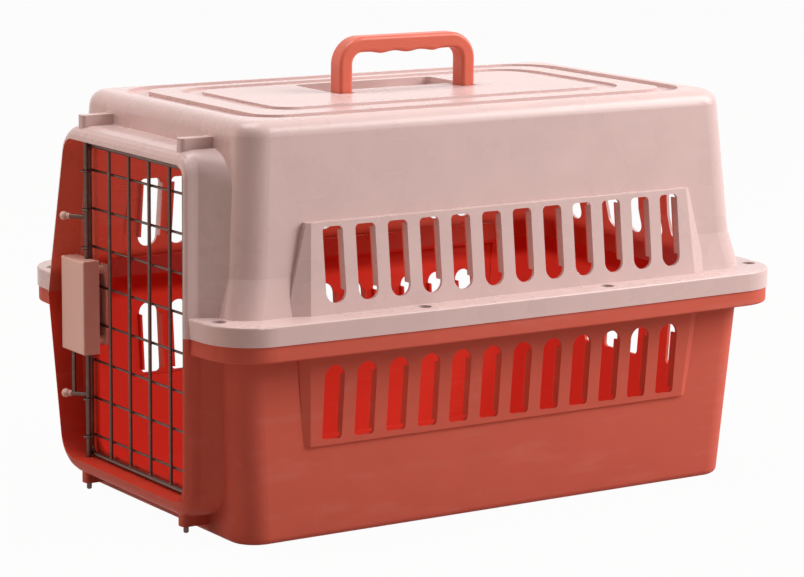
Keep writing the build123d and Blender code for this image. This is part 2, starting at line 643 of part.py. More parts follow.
def handle():
    """The carrying handle: a bow with round edges and four finger hollows under its grip."""
    low = PIVOT_Z - HANDLE_WIDTH
    under = HANDLE_TOP_Z - HANDLE_THICKNESS
    tall = HANDLE_TOP_Z - low
    half = HANDLE_WIDTH / 2
    outer = Pos(0, (HANDLE_TOP_Z + low) / 2) * Rectangle(2 * HANDLE_HALF_Y, tall)
    outer = fillet(outer.vertices().group_by(Axis.Y)[-1], HANDLE_OUTER_RADIUS)
    bow = outer - grip_gap(low, under)
    profile = extrude(Plane.YZ * bow, half, both=True)
    flank = [e for e in profile.edges() if abs(abs(e.center().X) - half) < 0.01]
    edges = [e for e in flank if e.center().Z > low + 1]
    profile = fillet(edges, HANDLE_EDGE_RADIUS)
    side = Pos(0, (HANDLE_TOP_Z + PIVOT_Z) / 2) * Rectangle(HANDLE_WIDTH, HANDLE_TOP_Z - PIVOT_Z)
    side = side + Pos(0, PIVOT_Z) * Circle(half)
    side = extrude(Plane.XZ * side, HANDLE_HALF_Y + 1, both=True)
    piece = profile & side
    hole_radius = PIVOT_PIN_RADIUS + PIVOT_CLEARANCE
    hole = rod_along_y(0, -HANDLE_HALF_Y - 1, HANDLE_HALF_Y + 1, PIVOT_Z, hole_radius)
    return Pos(HANDLE_X, 0, 0) * (piece - hole)


def door_frame():
    """The closed wire loop round the door."""
    tall = DOOR_TOP_Z - DOOR_LOW_Z
    middle = (DOOR_TOP_Z + DOOR_LOW_Z) / 2
    loop = Pos(0, middle) * RectangleRounded(2 * DOOR_HALF_X, tall, DOOR_CORNER_RADIUS)
    path = (Plane(origin=(0, FRAME_Y, 0), x_dir=(1, 0, 0), z_dir=(0, -1, 0)) * loop).wire()
    start = Plane(origin=(DOOR_HALF_X, FRAME_Y, middle), z_dir=(0, 0, 1))
    return sweep(start * Circle(FRAME_WIRE_RADIUS), path=path)


def door_upright(index):
    """One of the thin upright wires inside the frame."""
    pitch = 2 * DOOR_HALF_X / (UPRIGHT_COUNT + 1)
    x = -DOOR_HALF_X + (index + 1) * pitch
    end = FRAME_WIRE_RADIUS + WELD_GAP
    return rod_along_z(x, UPRIGHT_Y, DOOR_LOW_Z + end, DOOR_TOP_Z - end, UPRIGHT_WIRE_RADIUS)


def door_cross_wire(index):
    """One of the thin wires that cross behind the frame and the uprights."""
    z = between(CROSS_LOW_Z, CROSS_TOP_Z, index / (CROSS_COUNT - 1))
    half = DOOR_HALF_X + CROSS_OVERHANG
    return Pos(0, CROSS_Y, z) * Rot(0, 90, 0) * Cylinder(CROSS_WIRE_RADIUS, 2 * half)


def hinge_rod():
    """The rod on the hinge edge, whose ends turn in the lugs."""
    rod = rod_along_z(HINGE_X, HINGE_Y, ROD_LOW_Z, ROD_TOP_Z, ROD_RADIUS)
    return chamfer(rod.edges().sort_by(Axis.Z)[0], ROD_RADIUS * 0.4)


def finger_tab(z):
    """A wire arm with a ball end, which points forward and away from the hinge."""
    reach = Vector(-TAB_REACH_X, -TAB_REACH_Y, 0)
    meet = reach.length - math.sqrt(TAB_BALL_RADIUS**2 - TAB_ARM_RADIUS**2)
    tip = reach.length + TAB_BALL_RADIUS
    arm = Polyline((0, tip), (0, 0), (TAB_ARM_RADIUS, 0), (TAB_ARM_RADIUS, meet))
    ball = ThreePointArc((TAB_ARM_RADIUS, meet), (TAB_BALL_RADIUS, reach.length), (0, tip))
    profile = Plane.XZ * make_face(Curve() + [arm, ball])
    turned = revolve(profile, Axis.Z)
    return Plane(origin=(LATCH_X, LATCH_Y, z), z_dir=reach) * turned


def upper_latch_rod():
    """The rod that locks the door to the top of the surround."""
    rod = rod_along_z(LATCH_X, LATCH_Y, UPPER_ROD_END_Z, UPPER_ROD_TOP_Z, ROD_RADIUS)
    rod = chamfer(rod.edges().sort_by(Axis.Z)[-1], ROD_RADIUS * 0.4)
    collar = rod_along_z(
        LATCH_X, LATCH_Y, UPPER_ROD_END_Z, UPPER_ROD_END_Z + ROD_COLLAR_HEIGHT, ROD_COLLAR_RADIUS
    )
    return rod + collar + finger_tab(UPPER_TAB_Z)


def lower_latch_rod():
    """The rod that locks the door to the sill, with a guide leg beside it."""
    rod = rod_along_z(LATCH_X, LATCH_Y, LOWER_ROD_LOW_Z, LOWER_ROD_END_Z, ROD_RADIUS)
    rod = chamfer(rod.edges().sort_by(Axis.Z)[0], ROD_RADIUS * 0.4)
    collar = rod_along_z(
        LATCH_X, LATCH_Y, LOWER_ROD_END_Z - ROD_COLLAR_HEIGHT, LOWER_ROD_END_Z, ROD_COLLAR_RADIUS
    )
    leg = rod_along_z(GUIDE_LEG_X, GUIDE_LEG_Y, LOWER_TAB_Z, GUIDE_LEG_TOP_Z, GUIDE_LEG_RADIUS)
    return rod + collar + leg + finger_tab(LOWER_TAB_Z)


def cover_boss_places():
    """The height of each screw that closes the latch cover."""
    return (COVER_SCREW_LOW_Z, COVER_SCREW_TOP_Z)


def cover_screw_holes(front_y, back_y):
    """The holes of the cover's screws, between two depths."""
    radius = COVER_SCREW_RADIUS + COVER_SCREW_CLEARANCE
    return [rod_along_y(COVER_SCREW_X, front_y, back_y, z, radius) for z in cover_boss_places()]


def latch_cover():
    """The moulded cover in front of the latch rods, open at the back."""
    cover = block(COVER_LEFT_X, COVER_RIGHT_X, COVER_FRONT_Y, COVER_BACK_Y, COVER_LOW_Z, COVER_TOP_Z)
    cover = fillet(cover.faces().sort_by(Axis.Y)[0].edges(), COVER_EDGE_RADIUS)
    room = block(
        COVER_LEFT_X + COVER_WALL, COVER_RIGHT_X - COVER_WALL,
        COVER_FRONT_Y + COVER_WALL, COVER_BACK_Y + 1,
        COVER_LOW_Z + COVER_WALL, COVER_TOP_Z - COVER_WALL,
    )
    cover = cover - room
    half = PARTITION_THICKNESS / 2
    shelf = block(
        COVER_LEFT_X + COVER_WALL / 2, COVER_RIGHT_X - COVER_WALL / 2,
        COVER_FRONT_Y + COVER_WALL / 2, COVER_BACK_Y,
        PARTITION_Z - half, PARTITION_Z + half,
    )
    bosses = [
        rod_along_y(COVER_SCREW_X, COVER_FRONT_Y + COVER_WALL / 2, PLATE_FRONT_Y, z, COVER_BOSS_RADIUS)
        for z in cover_boss_places()
    ]
    cover = cover + shelf + bosses
    notch = ROD_RADIUS + KEEPER_CLEARANCE
    leg_notch = GUIDE_LEG_RADIUS + KEEPER_CLEARANCE
    floor = (COVER_LOW_Z - 1, COVER_LOW_Z + COVER_WALL)
    roof = (COVER_TOP_Z - COVER_WALL, COVER_TOP_Z + 1)
    notches = [
        block(x - room_half, x + room_half, y - room_half, COVER_BACK_Y + 1, *span)
        for x, y, room_half, span in (
            (LATCH_X, LATCH_Y, notch, floor),
            (LATCH_X, LATCH_Y, notch, roof),
            (GUIDE_LEG_X, GUIDE_LEG_Y, leg_notch, floor),
        )
    ]
    return cover - notches - cover_screw_holes(COVER_FRONT_Y + 2 * COVER_WALL, PLATE_FRONT_Y + 1)


def latch_back_plate():
    """The strip behind the wires that the cover is screwed to."""
    reach = COVER_BOSS_RADIUS + 1
    plate = block(
        COVER_SCREW_X - BACK_PLATE_HALF_X, COVER_SCREW_X + BACK_PLATE_HALF_X,
        PLATE_FRONT_Y, PLATE_FRONT_Y + BACK_PLATE_THICKNESS,
        COVER_SCREW_LOW_Z - reach, COVER_SCREW_TOP_Z + reach,
    )
    plate = fillet(plate.edges().filter_by(Axis.Y), reach / 2)
    return plate - cover_screw_holes(PLATE_FRONT_Y - 1, PLATE_FRONT_Y + 2 * BACK_PLATE_THICKNESS)


def latch_screws():
    """Two small screws through the back plate."""
    seat = PLATE_FRONT_Y + BACK_PLATE_THICKNESS
    screws = []
    for z in cover_boss_places():
        shank = rod_along_y(COVER_SCREW_X, seat - COVER_SCREW_LENGTH, seat, z, COVER_SCREW_RADIUS)
        head_end = seat + COVER_SCREW_HEAD_HEIGHT
        head = rod_along_y(COVER_SCREW_X, seat, head_end, z, COVER_SCREW_HEAD_RADIUS)
        screws.append((shank + head).solid())
    return Compound(screws)


def latch_spring(z0, z1, turns):
    """A coil spring round no core, between the cover's shelf and a rod's collar."""
    height = z1 - z0 - SPRING_WIRE - 2 * SPRING_END_GAP
    path = Helix(height / turns, height, SPRING_RADIUS)
    section = Plane(origin=path @ 0, z_dir=path % 0) * Rectangle(SPRING_WIRE, SPRING_WIRE)
    coil = sweep(section, path=path, is_frenet=True)
    return Pos(LATCH_X, LATCH_Y, z0 + SPRING_END_GAP + SPRING_WIRE / 2) * coil


def parts():
    """Every piece by its node's name."""
    shelf = PARTITION_THICKNESS / 2
    pieces = {
        "upper_shell": upper_shell(),
        "lower_shell": lower_shell(),
        "flange_screws": flange_screws(),
        "flange_nuts": flange_nuts(),
        "handle": handle(),
        "handle_pin_front": handle_pin(-1),
        "handle_pin_rear": handle_pin(1),
        "door_frame": door_frame(),
        "hinge_rod": hinge_rod(),
        "latch_cover": latch_cover(),
        "latch_back_plate": latch_back_plate(),
        "latch_screws": latch_screws(),
        "upper_latch_rod": upper_latch_rod(),
        "lower_latch_rod": lower_latch_rod(),
        "upper_latch_spring": latch_spring(PARTITION_Z + shelf, UPPER_ROD_END_Z, UPPER_SPRING_TURNS),
        "lower_latch_spring": latch_spring(LOWER_ROD_END_Z, PARTITION_Z - shelf, LOWER_SPRING_TURNS),
    }
    for index in range(UPRIGHT_COUNT):
        pieces[f"door_upright_{index + 1}"] = door_upright(index)
    for index in range(CROSS_COUNT):
        pieces[f"door_cross_wire_{index + 1}"] = door_cross_wire(index)
    return pieces


if __name__ == "__main__":
    os.makedirs("parts", exist_ok=True)
    for name, piece in parts().items():
        export_step(piece, f"parts/{name}.step")
        print(name, len(piece.solids()), round(piece.volume))
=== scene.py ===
"""Looks of a plastic pet carrier with a wire door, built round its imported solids.

The frame is the part's own, in metres: +Z up, the door faces -Y, the long sides face +X and -X.
The small pieces are worked out in millimetres and turned into metres when they are made.
"""
import json
import logging
import math
from dataclasses import dataclass
from enum import Enum
from typing import Any

import bmesh
import bpy
import numpy as np
from mathutils import Matrix, Vector

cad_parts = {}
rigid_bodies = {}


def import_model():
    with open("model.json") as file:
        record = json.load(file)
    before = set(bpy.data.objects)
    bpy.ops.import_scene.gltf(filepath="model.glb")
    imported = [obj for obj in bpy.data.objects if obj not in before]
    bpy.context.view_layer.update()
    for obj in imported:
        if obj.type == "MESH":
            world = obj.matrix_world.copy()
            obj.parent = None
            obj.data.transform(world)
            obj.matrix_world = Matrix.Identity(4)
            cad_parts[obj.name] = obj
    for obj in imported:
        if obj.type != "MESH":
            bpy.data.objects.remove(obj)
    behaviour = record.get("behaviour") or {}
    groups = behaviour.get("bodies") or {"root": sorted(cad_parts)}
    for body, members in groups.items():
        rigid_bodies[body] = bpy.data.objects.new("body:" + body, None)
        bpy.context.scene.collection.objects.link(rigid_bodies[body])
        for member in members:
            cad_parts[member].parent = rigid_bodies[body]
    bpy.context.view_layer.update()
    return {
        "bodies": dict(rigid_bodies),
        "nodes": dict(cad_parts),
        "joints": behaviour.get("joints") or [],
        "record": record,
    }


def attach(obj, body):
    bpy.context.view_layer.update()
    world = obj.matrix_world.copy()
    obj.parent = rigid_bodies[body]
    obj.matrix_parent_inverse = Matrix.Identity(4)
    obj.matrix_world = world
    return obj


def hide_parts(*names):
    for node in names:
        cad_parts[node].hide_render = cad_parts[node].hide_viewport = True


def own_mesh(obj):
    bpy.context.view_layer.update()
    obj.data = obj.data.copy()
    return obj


LOG = logging.getLogger("pet_carrier")
MM = 0.001
PLASTIC_IOR = 1.49

Colour = tuple[float, float, float]
Socket = Any


class Body(Enum):
    """The bodies that new pieces ride on."""

    CARRIER = "carrier"
    DOOR = "door"
    UPPER_LATCH = "upper_latch"
    LOWER_LATCH = "lower_latch"


class Slot(Enum):
    """The record's material slots."""

    PINK = "pink_plastic"
    CORAL = "coral_plastic"
    HANDLE = "handle_plastic"
    COVER = "cover_plastic"
    WIRE = "wire_steel"
    ZINC = "zinc_steel"


def srgb(red: int, green: int, blue: int) -> Colour:
    """Turns a colour of 0 to 255 per channel into the linear values that a shader takes.

    Args:
        red: the red channel.
        green: the green channel.
        blue: the blue channel.

    Returns:
        The linear colour.
    """
    shares = np.array([red, green, blue]) / 255.0
    linear = np.where(shares <= 0.04045, shares / 12.92, ((shares + 0.055) / 1.055) ** 2.4)
    return (float(linear[0]), float(linear[1]), float(linear[2]))


class Tree:
    """Adds nodes to one shader tree and links their sockets."""

    def __init__(self, tree: bpy.types.NodeTree) -> None:
        """Keeps the tree that later calls add to.

        Args:
            tree: the node tree of a material, a world or a node group.
        """
        self.tree = tree

    def node(self, kind: str, inputs: dict[Any, Any] | None = None, **settings: Any) -> bpy.types.Node:
        """Adds one node.

        Args:
            kind: Blender's name of the node type.
            inputs: what goes into each input, by its name or number: a socket or a value.
            settings: the node's own properties.

        Returns:
            The new node.
        """
        made = self.tree.nodes.new(kind)
        for name, value in settings.items():
            setattr(made, name, value)
        for key, value in (inputs or {}).items():
            if isinstance(value, bpy.types.NodeSocket):
                self.tree.links.new(value, made.inputs[key])
            else:
                made.inputs[key].default_value = value
        return made

    def sum(self, operation: str, first: Any, second: Any = 0.0, clamp: bool = False) -> Socket:
        """Adds one Math node and returns its result.

        Args:
            operation: the sum it does, such as ADD or MINIMUM.
            first: its first number, a socket or a value.
            second: its second number, a socket or a value.
            clamp: whether the result stays between 0 and 1.

        Returns:
            The node's output socket.
        """
        numbers = {0: first, 1: second}
        return self.node("ShaderNodeMath", numbers, operation=operation, use_clamp=clamp).outputs[0]

    def noise(self, place: Socket, scale: Socket, detail: float) -> Socket:
        """Adds one noise texture and returns its value."""
        values = {"Vector": place, "Scale": scale, "Detail": detail}
        return self.node("ShaderNodeTexNoise", values).outputs[0]

    def scaled(self, vector: Socket, factor: float) -> Socket:
        """Multiplies a vector by one number."""
        values = {0: vector, "Scale": factor}
        return self.node("ShaderNodeVectorMath", values, operation="SCALE").outputs[0]

    def axes(self, vector: Socket) -> Any:
        """Splits a vector into its three axes."""
        return self.node("ShaderNodeSeparateXYZ", {0: vector}).outputs

    def blend(self, share: Any, first: Any, second: Any, mode: str = "MIX") -> Socket:
        """Mixes two colours and returns the result.

        Args:
            share: how much of the second colour shows.
            first: the first colour, a socket or a linear colour.
            second: the second colour, a socket or a linear colour.
            mode: the blend mode.

        Returns:
            The colour output.
        """
        first = first if isinstance(first, bpy.types.NodeSocket) else (*first, 1.0)
        second = second if isinstance(second, bpy.types.NodeSocket) else (*second, 1.0)
        colours = {0: share, 6: first, 7: second}
        return self.node("ShaderNodeMix", colours, data_type="RGBA", blend_type=mode).outputs[2]

    def surface(self, colour: Socket, rough: Socket, height: Socket, strength: float, depth: float) -> Any:
        """Adds a Principled shader with a bump, and the material's output.

        Args:
            colour: the base colour.
            rough: the roughness.
            height: the bump's height.
            strength: the bump's strength.
            depth: the bump's depth in metres.

        Returns:
            The Principled shader node.
        """
        bump = self.node("ShaderNodeBump", {"Height": height, "Strength": strength, "Distance": depth})
        values = {"Base Color": colour, "Roughness": rough, "Normal": bump.outputs[0]}
        shader = self.node("ShaderNodeBsdfPrincipled", values)
        self.node("ShaderNodeOutputMaterial", {"Surface": shader.outputs[0]})
        return shader


def new_material(name: str) -> tuple[bpy.types.Material, Tree]:
    """Makes an empty node material."""
    made = bpy.data.materials.new(name)
    made.use_nodes = True
    made.node_tree.nodes.clear()
    return made, Tree(made.node_tree)


def new_group(name: str, inputs: dict[str, Any], outputs: dict[str, str]) -> tuple[Tree, Any, Any]:
    """Makes a shader node group with named sockets.

    Args:
        name: the group's name.
        inputs: each input's name and its default value, a number or three numbers.
        outputs: each output's name and its socket type.

    Returns:
        The tree, its Group Input node and its Group Output node.
    """
    group = bpy.data.node_groups.new(name, "ShaderNodeTree")
    for socket, value in inputs.items():
        kind = "NodeSocketVector" if isinstance(value, tuple) else "NodeSocketFloat"
        made = group.interface.new_socket(socket, in_out="INPUT", socket_type=kind)
        made.default_value = value
    for socket, kind in outputs.items():
        group.interface.new_socket(socket, in_out="OUTPUT", socket_type=kind)
    tree = Tree(group)
    return tree, tree.node("NodeGroupInput"), tree.node("NodeGroupOutput")


class Effects:
    """The shader node groups that several finishes share."""

    def __init__(self) -> None:
        """Builds each group once."""
        self.grain = self._moulded_grain()
        self.scuffs = self._handling_scuffs()
        self.depth = self._tapered_depth()

    def place(self, tree: Tree, group: bpy.types.NodeTree, inputs: dict[str, Any]) -> bpy.types.Node:
        """Puts a group into a material with its own values."""
        return tree.node("ShaderNodeGroup", inputs, node_tree=group)

    def _moulded_grain(self) -> bpy.types.NodeTree:
        """Fine spark-eroded texture of a plastic mould: two noises of different sizes added up."""
        tree, given, result = new_group(
            "moulded_grain",
            {"Position": (0.0, 0.0, 0.0), "Grain Size": 0.0009, "Ripple Size": 0.035, "Ripple Share": 0.5},
            {"Height": "NodeSocketFloat", "Variation": "NodeSocketFloat"},
        )
        fine_scale = tree.sum("DIVIDE", 1.0, given.outputs["Grain Size"])
        wide_scale = tree.sum("DIVIDE", 1.0, given.outputs["Ripple Size"])
        fine = tree.noise(given.outputs["Position"], fine_scale, 3.0)
        wide = tree.noise(given.outputs["Position"], wide_scale, 2.0)
        swell = tree.sum("MULTIPLY", wide, given.outputs["Ripple Share"])
        height = tree.sum("ADD", fine, swell)
        tree.tree.links.new(height, result.inputs["Height"])
        tree.tree.links.new(wide, result.inputs["Variation"])
        return tree.tree

    def _handling_scuffs(self) -> bpy.types.NodeTree:
        """Faint rubbed patches: stretched noise, kept only where it is strongest."""
        stretch = (1.0, 0.35, 1.6)
        threshold = 0.56
        contrast = 6.0
        tree, given, result = new_group(
            "handling_scuffs",
            {"Position": (0.0, 0.0, 0.0), "Size": 0.02, "Amount": 0.5},
            {"Mask": "NodeSocketFloat"},
        )
        vectors = {0: given.outputs["Position"], 1: stretch}
        stretched = tree.node("ShaderNodeVectorMath", vectors, operation="MULTIPLY").outputs[0]
        scale = tree.sum("DIVIDE", 1.0, given.outputs["Size"])
        strong = tree.sum("SUBTRACT", tree.noise(stretched, scale, 6.0), threshold)
        scaled = tree.sum("MULTIPLY", strong, contrast, clamp=True)
        mask = tree.sum("MULTIPLY", scaled, given.outputs["Amount"])
        tree.tree.links.new(mask, result.inputs["Mask"])
        return tree.tree

    def _tapered_depth(self) -> bpy.types.NodeTree:
        """How deep a point lies inside a box that tapers with height, in the units of its position.

        It is the least distance to any wall, with round upright corners, and it grows no further
        than the corner radius.
        """
        tree, given, result = new_group(
            "tapered_depth",
            {
                "Position": (0.0, 0.0, 0.0), "Foot": (1.0, 1.0, 0.0),
                "Head": (1.0, 1.0, 1.0), "Corner": 8.0,
            },
            {"Depth": "NodeSocketFloat"},
        )
        here = tree.axes(given.outputs["Position"])
        foot = tree.axes(given.outputs["Foot"])
        head = tree.axes(given.outputs["Head"])
        above = tree.sum("SUBTRACT", here[2], foot[2])
        below = tree.sum("SUBTRACT", head[2], here[2])
        share = tree.sum("DIVIDE", above, tree.sum("SUBTRACT", head[2], foot[2]))
        short = []
        for axis in (0, 1):
            growth = tree.sum("MULTIPLY", tree.sum("SUBTRACT", head[axis], foot[axis]), share)
            half = tree.sum("ADD", foot[axis], growth)
            side = tree.sum("SUBTRACT", half, tree.sum("ABSOLUTE", here[axis]))
            lack = tree.sum("MAXIMUM", tree.sum("SUBTRACT", given.outputs["Corner"], side), 0.0)
            short.append(tree.sum("MULTIPLY", lack, lack))
        missing = tree.sum("SQRT", tree.sum("ADD", short[0], short[1]))
        inside = tree.sum("SUBTRACT", given.outputs["Corner"], missing)
        depth = tree.sum("MINIMUM", inside, tree.sum("MINIMUM", above, below))
        tree.tree.links.new(depth, result.inputs["Depth"])
        return tree.tree


@dataclass(frozen=True)
class Plastic:
    """One moulded plastic: its colour, gloss, grain and wear."""

    name: str
    colour: Colour
    roughness: float
    grain_depth: float
    grain_size: float = 0.0009
    ripple_share: float = 0.6
    variation: float = 0.12
    scuff_amount: float = 0.25
    scuff_colour: Colour = (0.9, 0.86, 0.84)
    scuff_paleness: float = 0.12
    scuff_dullness: float = 0.15
    bump_strength: float = 0.5
    gloss: float = 0.5

    def material(self, effects: Effects, painted_inside: "PaintedInsideLight | None" = None) -> bpy.types.Material:
        """Builds the node material.

        Args:
            effects: the shared node groups.
            painted_inside: the painted bounce colour and the painted glow of a shell's inside, where the
                moulding is a shell.

        Returns:
            The new material.
        """
        made, tree = new_material(self.name)
        place = tree.node("ShaderNodeTexCoord").outputs["Object"]
        grain = effects.place(
            tree, effects.grain,
            {"Position": place, "Grain Size": self.grain_size, "Ripple Share": self.ripple_share},
        )
        scuffs = effects.place(tree, effects.scuffs, {"Position": place, "Amount": self.scuff_amount})
        colour: Any = self.colour
        glow: Any = None
        # Painted light on a shell's inside: a red colour that stands in for bounced light, and an emission
        # glow that stands in for light through the thin wall.
        if painted_inside:
            mask = painted_inside.mask(effects, tree)
            colour = tree.blend(mask, self.colour, painted_inside.inner)
            share = tree.sum("MULTIPLY", mask, painted_inside.painted_glow_share(tree))
            glow = tree.blend(share, (0.0, 0.0, 0.0), painted_inside.glow)
        uneven = tree.sum("SUBTRACT", grain.outputs["Variation"], 0.5)
        spread = tree.sum("MULTIPLY", uneven, self.variation)
        shade = tree.sum("ADD", 1.0, spread)
        grey = tree.node("ShaderNodeCombineColor", {0: shade, 1: shade, 2: shade}).outputs[0]
        colour = tree.blend(1.0, colour, grey, "MULTIPLY")
        pale = tree.sum("MULTIPLY", scuffs.outputs["Mask"], self.scuff_paleness)
        colour = tree.blend(pale, colour, self.scuff_colour)
        dull = tree.sum("MULTIPLY", scuffs.outputs["Mask"], self.scuff_dullness)
        rough = tree.sum("ADD", tree.sum("ADD", self.roughness, dull), spread, clamp=True)
        shader = tree.surface(colour, rough, grain.outputs["Height"], self.bump_strength, self.grain_depth)
        shader.inputs["IOR"].default_value = PLASTIC_IOR
        shader.inputs["Specular IOR Level"].default_value = self.gloss
        # The painted glow: an emission on the shell's inside, though the shell is no lamp.
        if glow:
            tree.tree.links.new(glow, shader.inputs["Emission Color"])
            shader.inputs["Emission Strength"].default_value = 1.0
        return made


@dataclass(frozen=True)
class Metal:
    """One metal or coated wire."""

    name: str
    colour: Colour
    worn_colour: Colour
    metallic: float
    roughness: float
    wear: float = 0.4
    variation: float = 0.3
    bump_strength: float = 0.6
    bump_depth: float = 0.00004

    def material(self, effects: Effects) -> bpy.types.Material:
        """Builds the node material.

        Args:
            effects: the shared node groups.

        Returns:
            The new material.
        """
        made, tree = new_material(self.name)
        place = tree.node("ShaderNodeTexCoord").outputs["Object"]
        grain = effects.place(
            tree, effects.grain,
            {"Position": place, "Grain Size": 0.0012, "Ripple Size": 0.012, "Ripple Share": 1.0},
        )
        rubbed = {"Position": place, "Size": 0.006, "Amount": self.wear}
        scuffs = effects.place(tree, effects.scuffs, rubbed)
        colour = tree.blend(scuffs.outputs["Mask"], self.colour, self.worn_colour)
        uneven = tree.sum("SUBTRACT", grain.outputs["Variation"], 0.5)
        spread = tree.sum("MULTIPLY", uneven, self.variation)
        rough = tree.sum("ADD", self.roughness, spread, clamp=True)
        shader = tree.surface(colour, rough, grain.outputs["Height"], self.bump_strength, self.bump_depth)
        shader.inputs["Metallic"].default_value = self.metallic
        return made


PINK = Plastic("pink_plastic", srgb(214, 186, 182), 0.28, 0.00006, gloss=0.4)
CORAL = Plastic("coral_plastic", srgb(206, 98, 81), 0.50, 0.00006, gloss=0.06)
GRIP = Plastic("handle_plastic", srgb(214, 102, 78), 0.32, 0.00004, scuff_amount=0.35, gloss=0.4)
COVER = Plastic("cover_plastic", srgb(226, 186, 172), 0.45, 0.00005)
WIRE = Metal("coated_wire", srgb(92, 70, 62), srgb(122, 108, 98), 0.75, 0.36)
ZINC = Metal("zinc_steel", srgb(150, 150, 150), srgb(120, 118, 112), 0.95, 0.35)
# Painted light: these inside colours are a red that stands in for the light bounced round inside the
# carrier.
UPPER_PAINTED_BOUNCE = srgb(200, 84, 62)
LOWER_PAINTED_BOUNCE = srgb(208, 64, 46)
# Painted light: these glows are emissions that stand in for the light that comes through the thin walls.
UPPER_PAINTED_GLOW = (0.15, 0.024, 0.014)
LOWER_PAINTED_GLOW = (0.21, 0.013, 0.008)


@dataclass(frozen=True)
class TaperedBox:
    """A box that changes with height: half width, half length and height of its foot and its head."""

    foot: tuple[float, float, float]
    head: tuple[float, float, float]
    corner: float = 8.0

    def depth(self, effects: Effects, tree: Tree, point: Socket) -> Socket:
        """Adds the nodes that say how deep a point lies inside the box."""
        values = {"Position": point, "Foot": self.foot, "Head": self.head, "Corner": self.corner}
        return effects.place(tree, effects.depth, values).outputs[0]


@dataclass(frozen=True)
class PaintedInsideLight:
    """Colours the inside of one shell apart from its outside, in millimetres.

    Each point is moved a little along its face's normal, and takes the painted bounce colour where it
    then lies inside the body or the door surround: a red that stands in for the light bounced round
    inside the carrier. The glow is painted light as well, an emission that stands in for the light
    that comes through the thin wall.
    """

    body: tuple[TaperedBox, ...]
    surround: TaperedBox
    slots: tuple[float, float]
    inner: Colour
    glow: Colour
    has_pocket: bool = False
    probe: float = 4.0
    skin: float = 1.25
    feather: float = 0.4
    jamb_depth: float = 5.3
    surround_back: float = -200.0
    panel_half: float = 176.0
    panel_start: float = 125.0
    rear_start: float = 205.0
    rear_half: float = 95.0
    pocket_near: float = 5.2
    pocket_far: float = -63.5
    pocket_half: float = 63.7
    pocket_floor: float = 288.8
    flange_span: tuple[float, float] = (143.0, 167.0)
    door_end: float = -232.0
    door_share: float = 0.1
    fade: float = 7.0

    def painted_glow_share(self, tree: Tree) -> Socket:
        """Adds nodes that say where the painted glow shows, an emission that stands in for light coming
        through the wall.

        They give 0 behind the flange, a set share at the door and 1 elsewhere.
        """
        here = tree.axes(tree.scaled(tree.node("ShaderNodeTexCoord").outputs["Object"], 1 / MM))
        low, top = self.flange_span
        under = tree.sum("DIVIDE", tree.sum("SUBTRACT", low, here[2]), self.fade, clamp=True)
        over = tree.sum("DIVIDE", tree.sum("SUBTRACT", here[2], top), self.fade, clamp=True)
        behind = tree.sum("DIVIDE", tree.sum("SUBTRACT", here[1], self.door_end), self.fade, clamp=True)
        behind = tree.sum("MAXIMUM", behind, self.door_share)
        return tree.sum("MULTIPLY", tree.sum("MAXIMUM", under, over), behind)

    def mask(self, effects: Effects, tree: Tree) -> Socket:
        """Adds the nodes of the mask, which is 1 on the inside, where the painted bounce colour goes.

        Args:
            effects: the shared node groups.
            tree: the material's tree.

        Returns:
            The mask's socket.
        """
        given = tree.node("ShaderNodeTexCoord").outputs
        start = tree.scaled(given["Object"], 1 / MM)
        step = tree.scaled(given["Normal"], self.probe)
        point = tree.node("ShaderNodeVectorMath", {0: start, 1: step}, operation="ADD").outputs[0]
        here = tree.axes(point)
        facing = tree.axes(given["Normal"])
        depth: Any = -100.0
        for box in self.body:
            depth = tree.sum("MAXIMUM", depth, box.depth(effects, tree, point))
        if self.has_pocket:
            depth = tree.sum("MINIMUM", depth, self._beyond_pocket(tree, here))
        opening = self.surround.depth(effects, tree, point)
        opening = tree.sum("MINIMUM", opening, tree.sum("SUBTRACT", self.surround_back, here[1]))
        depth = tree.sum("MAXIMUM", depth, opening)
        jamb = tree.sum("MULTIPLY", self._slot_edge(tree, here, facing), self.jamb_depth)
        depth = tree.sum("SUBTRACT", depth, tree.sum("ADD", jamb, self.skin))
        return tree.sum("DIVIDE", depth, self.feather, clamp=True)

    def _slot_edge(self, tree: Tree, here: Any, facing: Any) -> Socket:
        """Adds nodes that give 1 on the narrow faces round a slot in the sides or the rear."""
        low, top = self.slots
        above = tree.sum("GREATER_THAN", here[2], low)
        tall = tree.sum("MULTIPLY", above, tree.sum("LESS_THAN", here[2], top))
        across = tree.sum("ABSOLUTE", here[0])
        along = tree.sum("ABSOLUTE", here[1])
        side = self._turned_face(tree, across, self.panel_start, along, self.panel_half, facing[0])
        rear = self._turned_face(tree, here[1], self.rear_start, across, self.rear_half, facing[1])
        return tree.sum("MULTIPLY", tall, tree.sum("MAXIMUM", side, rear))

    def _turned_face(
        self, tree: Tree, out: Socket, start: float, aside: Socket, half: float, facing: Socket
    ) -> Socket:
        """Adds nodes that give 1 on faces of one slotted wall that don't face outwards or inwards.

        Args:
            tree: the material's tree.
            out: how far out the point lies.
            start: where the wall starts.
            aside: how far the point lies from the wall's middle.
            half: half the length of the slotted stretch.
            facing: the share of the normal that points outwards.

        Returns:
            The mask's socket.
        """
        beyond = tree.sum("GREATER_THAN", out, start)
        slotted = tree.sum("MULTIPLY", beyond, tree.sum("LESS_THAN", aside, half))
        turned_away = tree.sum("LESS_THAN", tree.sum("ABSOLUTE", facing), 0.5)
        return tree.sum("MULTIPLY", slotted, turned_away)

    def _beyond_pocket(self, tree: Tree, here: Any) -> Socket:
        """Adds nodes that say how far a point lies outside the handle pocket."""
        sideways = tree.sum("SUBTRACT", tree.sum("ABSOLUTE", here[1]), self.pocket_half)
        near = tree.sum("SUBTRACT", here[0], self.pocket_near)
        far = tree.sum("SUBTRACT", self.pocket_far, here[0])
        under = tree.sum("SUBTRACT", self.pocket_floor, here[2])
        return tree.sum("MAXIMUM", tree.sum("MAXIMUM", sideways, near), tree.sum("MAXIMUM", far, under))


